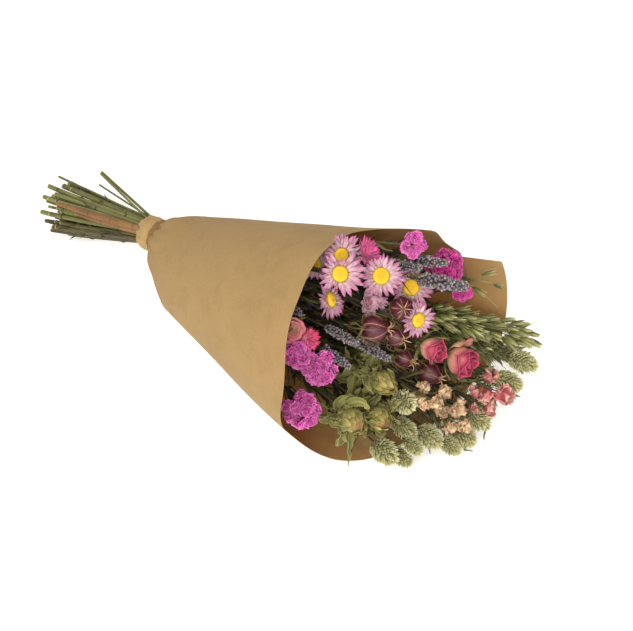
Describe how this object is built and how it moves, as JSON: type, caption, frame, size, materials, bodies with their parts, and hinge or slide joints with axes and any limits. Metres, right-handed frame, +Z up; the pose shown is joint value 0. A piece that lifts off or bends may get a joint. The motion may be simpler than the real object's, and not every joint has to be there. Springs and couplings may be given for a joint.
{
  "type": "mixed flower bouquet",
  "caption": "Dried mixed bouquet lying on its side: pink daisies, statice, lavender, seed pods, roses, safflower, oats and grasses, in a kraft paper cone tied at the neck.",
  "frame": {"origin": "on the surface, under the middle of the bouquet's box as it lies on its side", "axes": "+X from the cut stem ends to the flowers, +Y to the left seen along +X, +Z up"},
  "size_m": [0.5082, 0.2222, 0.2026],
  "materials": {
    "kraft_paper": "bare brown kraft, matt, fine fibres",
    "collar_paper": "lighter kraft, gathered",
    "disc_yellow": "dry grainy dome",
    "petal_pale": "papery, silky",
    "petal_deep": "papery, silky",
    "statice_magenta": "crisp paper",
    "lavender_grey": "dry, dull",
    "pod_burgundy": "dry skin with pale ribs",
    "rose_pink": "dried petal, dull",
    "rose_peach": "dried petal, dull",
    "safflower_green": "dry leaf",
    "stem_green": "dry stalk",
    "grass_green": "dry scales",
    "oat_green": "dry husk, faint sheen",
    "larkspur_cream": "crumpled dry petal",
    "larkspur_pink": "crumpled dry petal"
  },
  "bodies": {
    "root": {"paper_wrapper": "kraft_paper", "paper_collar": "collar_paper", "everlasting_1_disc": "disc_yellow", "everlasting_1_petals": "petal_pale", "everlasting_2_disc": "disc_yellow", "everlasting_2_petals": "petal_pale", "everlasting_3_disc": "disc_yellow", "everlasting_3_petals": "petal_pale", "everlasting_4_disc": "disc_yellow", "everlasting_4_petals": "petal_pale", "everlasting_5_disc": "disc_yellow", "everlasting_5_petals": "petal_pale", "everlasting_6_disc": "disc_yellow", "everlasting_6_petals": "petal_pale", "everlasting_7_disc": "disc_yellow", "everlasting_7_petals": "petal_pale", "everlasting_8": "petal_deep", "everlasting_9": "petal_deep", "everlasting_10": "petal_pale", "statice_1": "statice_magenta", "statice_2": "statice_magenta", "statice_3": "statice_magenta", "statice_4": "statice_magenta", "statice_5": "statice_magenta", "statice_6": "statice_magenta", "lavender_1": "lavender_grey", "lavender_2": "lavender_grey", "lavender_3": "lavender_grey", "lavender_4": "lavender_grey", "lavender_5": "lavender_grey", "lavender_6": "lavender_grey", "lavender_7": "lavender_grey", "nigella_1": "pod_burgundy", "nigella_2": "pod_burgundy", "nigella_3": "pod_burgundy", "nigella_4": "pod_burgundy", "nigella_5": "pod_burgundy", "rose_1": "rose_pink", "rose_2": "rose_pink", "rose_3": "rose_peach", "safflower_1": "safflower_green", "safflower_2": "safflower_green", "safflower_3": "safflower_green", "everlasting_stems": "stem_green", "left_stems": "stem_green", "right_stems": "stem_green", "centre_stems": "stem_green", "safflower_stems": "stem_green", "phalaris_bunch": "grass_green", "oat_bunch": "oat_green", "larkspur_cream_bunch": "larkspur_cream", "larkspur_pink_bunch": "larkspur_pink"}
  },
  "joints": []
}
